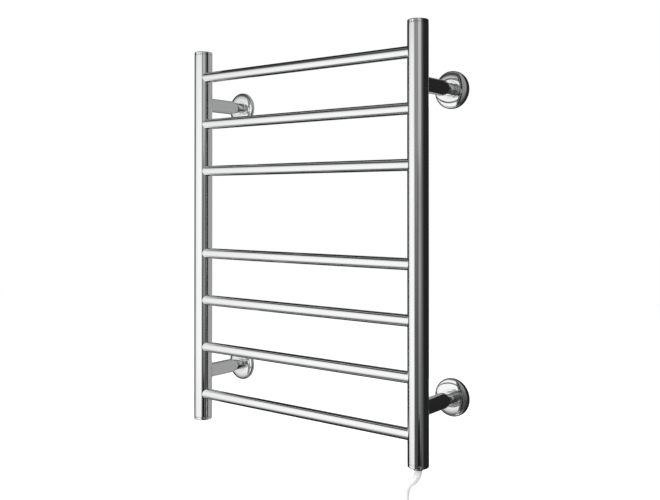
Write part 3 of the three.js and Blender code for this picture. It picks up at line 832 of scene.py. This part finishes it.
class RACK_OT_gland(bpy.types.Operator):
    """Adds the polished cable gland and the tapered strain relief that follows the lead's first bend"""

    bl_idname = "rack.gland"
    bl_label = "Gland and strain relief"

    def execute(self, context):
        sizes, finish = context.scene.lead_sizes, context.scene.rack_finishes
        low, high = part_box("cable_gland")
        radius = (high.x - low.x) / 2
        bore = sizes.cord_diameter / 2 + GAP
        shoulder = low.z + GLAND_FLANGE
        lip = 1.3 * MM
        outline = [(bore, low.z), (radius - lip, low.z), (radius - 0.35 * lip, low.z + 0.35 * lip),
                   (radius, low.z + lip), (radius, shoulder), (GLAND_STEM, shoulder),
                   (GLAND_STEM, high.z), (bore, high.z)]
        gland = spun("gland_body", eased(outline, 0.45 * MM), (EXIT.x, EXIT.y, 0.0), "Z", 64)
        smooth(gland)
        coat(gland, steel("Z"))
        belongs(gland, "rack", "polished_steel", "cable_gland")
        relief = self.relief(sizes)
        coat(relief, moulded("White strain relief", finish.white_pvc, 0.30, 4e-6, 900.0))
        belongs(relief, "rack", "white_pvc", "strain_relief")
        return {"FINISHED"}

    def relief(self, sizes):
        """A round sleeve drawn along the bend ring by ring, each ring turned and narrowed."""
        rings = 30
        inner = sizes.cord_diameter / 2 + 0.15 * MM
        turn = sizes.relief_length / sizes.bend_radius / rings
        clear_selection()
        bpy.ops.mesh.primitive_circle_add(
            vertices=48, radius=sizes.relief_top / 2, fill_type="NOTHING",
            location=EXIT - Vector((0, 0, GAP)))
        bpy.ops.object.transform_apply(location=True)
        relief = named("strain_relief_sleeve")
        start_edit()
        select_all()
        place, width = Vector(EXIT) - Vector((0, 0, GAP)), sizes.relief_top / 2
        for step in range(1, rings + 1):
            share = step / rings
            angle = turn * step
            taper = sizes.relief_top / 2 + (sizes.relief_tip - sizes.relief_top) / 2 * share
            groove = 0.55 * MM if step % 5 in (3, 4) and step < rings - 2 else 0.0
            next_width = taper - groove
            shift = sizes.bend_radius * (1 - math.cos(angle))
            drop = sizes.bend_radius * math.sin(angle)
            next_place = Vector(EXIT) + Vector((-shift, 0, -drop - GAP))
            bpy.ops.mesh.extrude_region_move(TRANSFORM_OT_translate={"value": next_place - place})
            bpy.ops.transform.rotate(value=-turn, orient_axis="Y", center_override=next_place)
            ratio = next_width / width
            bpy.ops.transform.resize(value=(ratio, ratio, ratio))
            place, width = next_place, next_width
        bpy.ops.mesh.extrude_region_move(TRANSFORM_OT_translate={"value": (0, 0, 0)})
        ratio = inner / width
        bpy.ops.transform.resize(value=(ratio, ratio, ratio))
        bpy.ops.mesh.edge_face_add()
        bpy.ops.mesh.select_all(action="DESELECT")
        select_edges(relief, lambda a, b: min(a.z, b.z) > EXIT.z - 2 * GAP)
        bpy.ops.mesh.edge_face_add()
        select_all()
        bpy.ops.mesh.normals_make_consistent(inside=False)
        end_edit()
        smooth(relief, 40.0)
        return relief


# ---------------------------------------------------------------- ladder


class RACK_OT_uprights(bpy.types.Operator):
    """Adds the two upright tubes, drilled on their inner sides for the bars"""

    bl_idname = "rack.uprights"
    bl_label = "Uprights"

    def execute(self, context):
        sizes = context.scene.rack_sizes
        outer = sizes.upright_diameter / 2
        drill_radius = sizes.bar_diameter / 2 + DRILL_GAP
        for side in SIDES:
            low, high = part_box(f"{side}_upright")
            centre = middle_of(f"{side}_upright")
            outline = ring(outer, outer - sizes.upright_wall, low.z, high.z)
            tube = spun(f"upright_tube_{side}", eased(outline, 0.25 * MM), (centre.x, centre.y, 0.0),
                        "Z", 128)
            smooth(tube)
            inward = 1.0 if side == "left" else -1.0
            drills = []
            for bar in range(1, BAR_COUNT + 1):
                place = middle_of(f"bar_{bar}")
                ends = sorted((centre.x, centre.x + inward * 2 * outer))
                drills.append(spun(
                    f"drill_{bar}", rod(drill_radius, *ends), (0.0, place.y, place.z), "X", 96))
            drilled(tube, drills)
            coat(tube, steel("Z"))
            belongs(tube, "rack", "polished_steel", f"{side}_upright")
        return {"FINISHED"}


class RACK_OT_bars(bpy.types.Operator):
    """Adds the round cross bars, each an open tube that ends inside the uprights"""

    bl_idname = "rack.bars"
    bl_label = "Cross bars"

    def execute(self, context):
        sizes = context.scene.rack_sizes
        outer = sizes.bar_diameter / 2
        low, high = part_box("bar_1")
        first = middle_of("bar_1")
        outline = eased(ring(outer, outer - sizes.bar_wall, low.x, high.x), 0.2 * MM)
        bars = [spun("bar_tube_1", outline, (0.0, first.y, first.z), "X", 96)]
        smooth(bars[0])
        coat(bars[0], steel("X"))
        for number in range(2, BAR_COUNT + 1):
            move = middle_of(f"bar_{number}") - first
            bars.append(duplicate(bars[0], f"bar_tube_{number}", move))
        for number, bar in enumerate(bars, 1):
            belongs(bar, "rack", "polished_steel", f"bar_{number}")
        return {"FINISHED"}


class RACK_OT_caps(bpy.types.Operator):
    """Adds the four end caps with their rounded edges; the right lower one is drilled for the gland"""

    bl_idname = "rack.caps"
    bl_label = "End caps"

    def execute(self, context):
        sizes = context.scene.rack_sizes
        outer = sizes.upright_diameter / 2
        spigot = outer - sizes.upright_wall - GAP
        core = spigot - sizes.cap_spigot_wall
        for corner in CORNERS:
            low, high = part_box(f"{corner}_cap")
            centre = middle_of(f"{corner}_cap")
            upper = corner.endswith("top")
            face, inward = (high.z, -1.0) if upper else (low.z, 1.0)
            hole = GLAND_STEM + GAP if corner == "right_bottom" else 0.0
            edge = sizes.cap_edge
            steps = 6
            outline = [(hole, 0.0)]
            for step in range(steps + 1):
                angle = math.pi / 2 * step / steps
                outline.append((outer - edge * (1 - math.sin(angle)), edge * (1 - math.cos(angle))))
            rim = [(outer, sizes.cap_height), (spigot, sizes.cap_height),
                   (spigot, sizes.cap_height + sizes.cap_spigot),
                   (core, sizes.cap_height + sizes.cap_spigot), (core, sizes.cap_height),
                   (hole, sizes.cap_height)]
            outline += eased(rim, 0.2 * MM, 2) if hole else [*eased(rim[:-1], 0.2 * MM, 2), rim[-1]]
            turned = [(radius, face + inward * height) for radius, height in outline]
            cap = spun(f"end_cap_{corner}", turned, (centre.x, centre.y, 0.0), "Z", 128)
            smooth(cap)
            coat(cap, steel("Z"))
            belongs(cap, "rack", "polished_steel", f"{corner}_cap")
        return {"FINISHED"}


# ---------------------------------------------------------------- wall brackets


class RACK_OT_sleeves(bpy.types.Operator):
    """Adds the stand-off sleeves, saddle-cut to the uprights, with their grub screws"""

    bl_idname = "rack.sleeves"
    bl_label = "Sleeves and grub screws"

    def execute(self, context):
        sizes, rack = context.scene.bracket_sizes, context.scene.rack_sizes
        finish = context.scene.rack_finishes
        radius, chamfer = sizes.sleeve_diameter / 2, sizes.sleeve_chamfer
        start = sizes.post_visible
        upright = middle_of("left_upright")
        reach = -upright.y
        first = Vector((upright.x, 0.0, middle_of("left_top_plate").z))
        profile = [(sizes.sleeve_bore / 2, reach), (sizes.sleeve_bore / 2, start),
                   (radius - chamfer, start), (radius, start + chamfer), (radius, reach)]
        sleeve = spun("sleeve_tube_left_top", eased(profile, 0.15 * MM, 2), first, "Y", 96)
        smooth(sleeve)
        saddle = spun(
            "saddle", rod(rack.upright_diameter / 2 + DRILL_GAP, first.z - radius * 2, first.z + radius * 2),
            (upright.x, upright.y, 0.0), "Z", 128)
        grub_y = -(start + sizes.grub_from_end)
        drill = spun(
            "grub_drill", rod(sizes.grub_diameter / 2 + 0.1 * MM, first.z - radius * 2, first.z),
            (first.x, grub_y, 0.0), "Z", 48)
        drilled(sleeve, [saddle, drill])
        coat(sleeve, steel("Y"))
        grub = self.grub_screw(sizes, first, grub_y)
        coat(grub, plated("Zinc screw", finish.zinc, 0.22))
        at_corners(
            first, (sleeve, "sleeve_tube_at_{}", "rack", "polished_steel", "{}_sleeve"),
            (grub, "grub_set_screw_at_{}", "rack", "zinc_steel", "{}_grub_screw"))
        return {"FINISHED"}

    def grub_screw(self, sizes, place, y):
        """A set screw with a chamfered rim and a hexagon socket, seen from below."""
        low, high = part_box("left_top_grub_screw")
        radius = sizes.grub_diameter / 2
        outline = [(0.0, low.z), (radius - 0.4 * MM, low.z), (radius, low.z + 0.4 * MM),
                   (radius, high.z), (0.0, high.z)]
        screw = spun("grub_set_screw", outline, (place.x, y, 0.0), "Z", 48)
        combine(screw, [hexagon(1.3 * MM, 3.0 * MM, (place.x, y, low.z))])
        smooth(screw)
        return screw


class RACK_OT_posts(bpy.types.Operator):
    """Adds the wall posts: a visible stub, a shoulder and the spigot that the sleeve slides on"""

    bl_idname = "rack.posts"
    bl_label = "Wall posts"

    def execute(self, context):
        sizes = context.scene.bracket_sizes
        foot = sizes.plate_thickness + GAP
        hole = sizes.screw_diameter / 2 + GAP
        radius, spigot = sizes.post_diameter / 2, sizes.sleeve_bore / 2 - GAP
        shoulder = sizes.post_visible - GAP
        tip = sizes.post_visible + sizes.spigot_length
        profile = [(hole, foot + sizes.screw_length), (hole, foot), (radius, foot), (radius, shoulder),
                   (spigot, shoulder), (spigot, tip - MM), (spigot - MM, tip)]
        outline = [(0.0, foot + sizes.screw_length), *eased(profile, 0.3 * MM)[1:], (0.0, tip)]
        first = wall_place("left_top")
        post = spun("post_model", outline, first, "Y", 96)
        smooth(post)
        coat(post, steel("Y"))
        at_corners(first, (post, "wall_post_{}", "wall_mounts", "polished_steel", "{}_post"))
        return {"FINISHED"}


class RACK_OT_covers(bpy.types.Operator):
    """Adds the loose wall covers: a thin domed shell with a straight rim and a raised collar"""

    bl_idname = "rack.covers"
    bl_label = "Wall covers"

    def execute(self, context):
        sizes = context.scene.bracket_sizes
        outer, bore = sizes.cover_diameter / 2, sizes.post_diameter / 2 + GAP
        collar = bore + sizes.collar_width
        top = sizes.cover_height
        shell = sizes.cover_shell

        def dome(edge, width, height, steps=14):
            return [(edge - width * (1 - math.cos(math.pi / 2 * step / steps)),
                     sizes.cover_rim + height * math.sin(math.pi / 2 * step / steps))
                    for step in range(steps + 1)]

        outside = dome(outer, sizes.cover_dome, top - sizes.cover_rim)
        inside = dome(outer - shell, sizes.cover_dome, top - shell - sizes.cover_rim)
        neck = [(collar, top), (collar, top + sizes.collar_height),
                (bore, top + sizes.collar_height), (bore, top - shell)]
        rim = [(outer - shell, GAP), (outer, GAP)]
        outline = [*eased([inside[0], *rim, outside[0]], 0.3 * MM)[4:-4], *outside,
                   *eased([outside[-1], *neck, inside[-1]], 0.3 * MM)[4:-4], *reversed(inside)]
        first = wall_place("left_top")
        cover = spun("cover_model", outline, first, "Y", 128)
        smooth(cover)
        coat(cover, steel(""))
        at_corners(first, (cover, "wall_cover_{}", "cover_{}", "polished_steel", "{}_cover"))
        return {"FINISHED"}


class RACK_OT_plates(bpy.types.Operator):
    """Adds the wall plates with their screw holes and the countersunk screws that hold the posts"""

    bl_idname = "rack.plates"
    bl_label = "Wall plates and screws"

    def execute(self, context):
        sizes, finish = context.scene.bracket_sizes, context.scene.rack_finishes
        first = wall_place("left_top")
        bore = sizes.screw_diameter / 2 + GAP
        sink = sizes.screw_head / 2 + 2 * GAP
        thick = sizes.plate_thickness
        profile = [(bore, sink - bore), (sink, 0.0), (sizes.plate_diameter / 2, 0.0),
                   (sizes.plate_diameter / 2, thick), (bore, thick)]
        plate = spun("plate_model", eased(profile, 0.25 * MM, 2), first, "Y", 96)
        drills = [spun(f"plate_drill_{sign}", rod(sizes.plate_hole / 2, -thick, 2 * thick),
                       first + Vector((0, 0, sign * sizes.plate_hole_spacing / 2)), "Y", 48)
                  for sign in (-1, 1)]
        combine(plate, drills)
        smooth(plate)
        zinc = plated("Zinc plate", finish.zinc, 0.26)
        coat(plate, zinc)
        head, radius, below = sizes.screw_head / 2, sizes.screw_diameter / 2, 0.2 * MM
        outline = [(0.0, below), (head, below), (head, below + 0.3 * MM),
                   (radius, below + 0.3 * MM + head - radius)]
        end = thick + sizes.screw_length - MM
        outline += [(radius, end - 0.6 * MM), (radius - 0.6 * MM, end), (0.0, end)]
        screw = spun("screw_model", outline, first, "Y", 48)
        combine(screw, [hexagon(1.7 * MM, 2.8 * MM, first, math.pi / 2)])
        smooth(screw)
        coat(screw, zinc)
        at_corners(
            first, (plate, "wall_plate_{}", "wall_mounts", "zinc_steel", "{}_plate"),
            (screw, "post_fixing_{}", "wall_mounts", "zinc_steel", "{}_post_screw"))
        return {"FINISHED"}


class RACK_OT_inside(bpy.types.Operator):
    """Gives the heating element, its wires and fittings inside the upright their finishes"""

    bl_idname = "rack.inside"
    bl_label = "Parts inside the upright"

    def execute(self, context):
        finish = context.scene.rack_finishes
        sheath = plated("Element sheath", (0.42, 0.38, 0.34), 0.34, "Z")
        silicone = moulded("Silicone", (0.36, 0.09, 0.05), 0.55)
        wires = {"live": (0.24, 0.10, 0.04), "neutral": (0.04, 0.13, 0.38), "earth": (0.20, 0.42, 0.05)}
        finishes = {
            "heating_element": sheath,
            "element_plug": silicone, "element_spacer_1": silicone, "element_spacer_2": silicone,
            "thermal_cutout": moulded("Ceramic", (0.72, 0.69, 0.60), 0.5, 1e-5, 2200.0),
            "live_wire_lower": moulded("Live wire", wires["live"], 0.42),
            "neutral_wire": moulded("Neutral wire", wires["neutral"], 0.42),
            "earth_wire": moulded("Earth wire", wires["earth"], 0.42),
            "earth_tag": plated("Brass tag", finish.brass, 0.24),
            "gland_locknut": plated("Zinc nut", finish.zinc, 0.28),
        }
        finishes["live_wire_upper"] = finishes["live_wire_lower"]
        for node, material in finishes.items():
            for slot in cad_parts[node].material_slots:
                slot.material = material
        return {"FINISHED"}


# ---------------------------------------------------------------- stage


def shown(grey):
    """The light that the screen shows as this grey."""
    return ((grey + 0.055) / 1.055) ** 2.4


def empty_material(name):
    """A material with nothing in it yet, and its tree."""
    material = bpy.data.materials.new(name)
    material.use_nodes = True
    material.node_tree.nodes.clear()
    return material, Tree(material.node_tree)


class RACK_OT_stage(bpy.types.Operator):
    """Adds the pale floor, the soft lamps, the cards that the steel mirrors and the white background"""

    bl_idname = "rack.stage"
    bl_label = "Stage"

    def execute(self, context):
        self.floor()
        self.cards()
        self.lamps()
        self.world(context.scene)
        context.scene.view_settings.view_transform = "Standard"
        return {"FINISHED"}

    def floor(self):
        clear_selection()
        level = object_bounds()[0].z - 4 * MM
        bpy.ops.mesh.primitive_plane_add(size=9.0, location=(0.0, 0.0, level))
        floor = named("floor")
        material, tree = empty_material("Pale floor")
        path = tree.add("ShaderNodeLightPath").outputs
        seen = tree.math("MAXIMUM", path["Is Camera Ray"], tree.math(
            "MAXIMUM", path["Is Glossy Ray"], path["Is Transmission Ray"]))
        matt = tree.add("ShaderNodeBsdfDiffuse", {"Color": (0.8, 0.8, 0.8, 1.0)})
        glow = tree.add("ShaderNodeEmission", {"Strength": tree.math("MULTIPLY", seen, 0.62)})
        both = tree.add("ShaderNodeAddShader", enumerate((matt.outputs[0], glow.outputs[0])))
        tree.add("ShaderNodeOutputMaterial", {"Surface": both.outputs[0]})
        coat(floor, material)
        floor.visible_glossy = False
        floor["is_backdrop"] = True

    def cards(self):
        """Upright cards outside the view, seen only as reflections in the steel.

        Each stands between two places on the floor plan; its tone follows its height and, across
        it, its share of the width.
        """
        white = [(-1.4, 0.22), (-1.04, 0.45), (-0.87, 0.62), (-0.7, 0.8), (-0.5, 0.95), (-0.3, 1.0),
                 (0.1, 1.0), (0.36, 0.96), (0.48, 0.88), (0.58, 0.72), (0.68, 0.45), (0.8, 0.28),
                 (1.0, 0.24), (1.3, 0.4)]
        grey = [(-1.2, 0.25), (-0.5, 0.30), (-0.25, 0.36), (-0.05, 0.44), (0.2, 0.54), (1.4, 0.6)]
        black = [(-0.7, 0.14), (0.7, 0.14)]
        stand = [(-1.1, 0.08), (-0.62, 0.08), (-0.5, 0.25), (-0.33, 0.33), (-0.1, 0.3), (0.1, 0.2),
                 (0.16, 0.3), (0.22, 0.55)]
        even = [(0.0, 1.0), (1.0, 1.0)]
        plans = (
            ("card_left", (-0.98, -0.34), (0.15, -0.78), white,
             [(0.0, 0.82), (0.3, 0.95), (0.5, 1.0), (0.9, 1.0), (1.0, 0.66)]),
            ("card_front", (0.15, -0.78), (1.50, -1.93), grey, [(0.0, 1.0), (0.3, 1.0), (1.0, 1.05)]),
            ("card_stand", (0.80, -1.20), (0.94, -1.12), stand, even),
            ("card_stand_foot", (0.94, -1.12), (1.25, -0.95), [(-1.1, 0.08), (-0.56, 0.1)], even),
            ("card_side", (0.335, -0.15), (0.335, 0.045), black, [(0.0, 2.4), (0.3, 1.0), (1.0, 1.0)]),
            ("card_back", (0.335, 0.045), (0.19, 0.045), black, even))
        for name, start, end, tones, across in plans:
            self.card(name, Vector(start), Vector(end), tones, across)

    def card(self, name, start, end, tones, across):
        low, high = tones[0][0], tones[-1][0]
        middle, along = (start + end) / 2, end - start
        clear_selection()
        bpy.ops.mesh.primitive_plane_add(
            size=1.0, location=(middle.x, middle.y, (low + high) / 2),
            rotation=(math.pi / 2, 0.0, math.atan2(along.y, along.x)))
        card = named(name)
        card.scale = (along.length, high - low, 1.0)
        settle(card)
        material, tree = empty_material(f"{name} tone")
        place = tree.add("ShaderNodeSeparateXYZ", {
            "Vector": tree.add("ShaderNodeTexCoord").outputs["UV"]}).outputs
        upward = tree.ramp(place["Y"], [((z - low) / (high - low), shown(g)) for z, g in tones])
        sideways = tree.ramp(place["X"], [(share, shown(g)) for share, g in across])
        both = tree.product(upward, sideways)
        glow = tree.add("ShaderNodeEmission", {"Color": both, "Strength": 1.0})
        tree.add("ShaderNodeOutputMaterial", {"Surface": glow.outputs[0]})
        coat(card, material)
        card.visible_camera = card.visible_diffuse = card.visible_shadow = False
        card.visible_transmission = card.visible_volume_scatter = False
        card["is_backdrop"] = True

    def lamps(self):
        for name, place, aim, size, power in (
                ("key_lamp", (-0.9, -1.6, 1.1), (0.0, -0.1, -0.1), 1.4, 36.0),
                ("fill_lamp", (1.8, -1.2, 0.9), (0.1, -0.1, -0.1), 1.6, 9.0),
                ("top_lamp", (0.0, 0.3, 2.0), (0.0, -0.05, 0.0), 1.6, 14.0)):
            clear_selection()
            turn = (Vector(place) - Vector(aim)).to_track_quat("Z", "Y").to_euler()
            bpy.ops.object.light_add(type="AREA", location=place, rotation=turn)
            lamp = bpy.context.active_object
            lamp.name = lamp.data.name = name
            lamp.data.size = size
            lamp.data.energy = power
            lamp.visible_glossy = False

    def world(self, scene):
        """White to the eye; to the steel, a studio with white, grey and dark walls."""
        world = bpy.data.worlds.new("Studio")
        scene.world = world
        world.use_nodes = True
        world.node_tree.nodes.clear()
        tree = Tree(world.node_tree)
        way = tree.add("ShaderNodeTexCoord").outputs["Generated"]
        parts = tree.add("ShaderNodeSeparateXYZ", {"Vector": way}).outputs
        heading = tree.math("ARCTAN2", parts["Y"], parts["X"])
        walls = tree.ramp(tree.math("MULTIPLY_ADD", heading, 0.5 / math.pi, 0.5), [
            ((angle + 180.0) / 360.0, shown(grey)) for angle, grey in (
                (-180, 0.14), (-172, 0.16), (-160, 0.45), (-60, 0.55), (-55, 0.78), (-34, 0.76),
                (-14, 0.42), (6, 0.42), (14, 0.60), (60, 0.64), (120, 0.58), (136, 0.14), (180, 0.14))])
        levels = tree.ramp(tree.math("MULTIPLY_ADD", parts["Z"], 0.5, 0.5), [
            ((z + 1.0) / 2.0, shown(factor)) for z, factor in (
                (-1.0, 0.1), (-0.30, 0.15), (-0.265, 0.6), (-0.2, 0.66), (-0.1, 0.8), (0.02, 0.78),
                (0.08, 0.95), (0.2, 1.0))])
        front_right = tree.math("COMPARE", heading, math.radians(-36.0), math.radians(36.0))
        leveled = tree.product(walls, levels, front_right)
        studio = tree.add("ShaderNodeBackground", {"Color": leveled, "Strength": 1.0})
        white = tree.add("ShaderNodeBackground", {"Color": (1.0, 1.0, 1.0, 1.0), "Strength": 1.0})
        dim = tree.add("ShaderNodeBackground", {"Color": (1.0, 1.0, 1.0, 1.0), "Strength": 0.45})
        path = tree.add("ShaderNodeLightPath").outputs
        clear = tree.math("MAXIMUM", path["Is Camera Ray"], path["Is Transmission Ray"])
        plain = tree.add("ShaderNodeMixShader", {0: path["Is Glossy Ray"], 1: dim.outputs[0],
                                                 2: studio.outputs[0]})
        whole = tree.add("ShaderNodeMixShader", {0: clear, 1: plain.outputs[0], 2: white.outputs[0]})
        tree.add("ShaderNodeOutputWorld", {"Surface": whole.outputs[0]})


# ---------------------------------------------------------------- add-on

OPERATORS = (
    RACK_OT_camera, RACK_OT_lead, RACK_OT_plug, RACK_OT_gland, RACK_OT_uprights, RACK_OT_bars,
    RACK_OT_caps, RACK_OT_sleeves, RACK_OT_posts, RACK_OT_covers, RACK_OT_plates, RACK_OT_inside,
    RACK_OT_stage)


class RACK_PT_panel(bpy.types.Panel):
    """Lists the rack's pieces and its sizes and finishes"""

    bl_idname = "RACK_PT_panel"
    bl_label = "Towel warmer rack"
    bl_space_type = "VIEW_3D"
    bl_region_type = "UI"
    bl_category = "Towel warmer"

    def draw(self, context):
        for operator in OPERATORS:
            self.layout.operator(operator.bl_idname)
        for name, group in SIZE_GROUPS:
            box = self.layout.box()
            for key in group.__annotations__:
                box.prop(getattr(context.scene, name), key)


def register():
    for name, group in SIZE_GROUPS:
        bpy.utils.register_class(group)
        setattr(bpy.types.Scene, name, bpy.props.PointerProperty(type=group))
    for kind in (*OPERATORS, RACK_PT_panel):
        bpy.utils.register_class(kind)


def unregister():
    for kind in (RACK_PT_panel, *reversed(OPERATORS)):
        bpy.utils.unregister_class(kind)
    for name, group in reversed(SIZE_GROUPS):
        delattr(bpy.types.Scene, name)
        bpy.utils.unregister_class(group)


def main():
    register()
    polish_group()
    moulded_group()
    for operator in OPERATORS:
        family, name = operator.bl_idname.split(".")
        getattr(getattr(bpy.ops, family), name)()
    clear_selection()


if __name__ == "__main__":
    main()
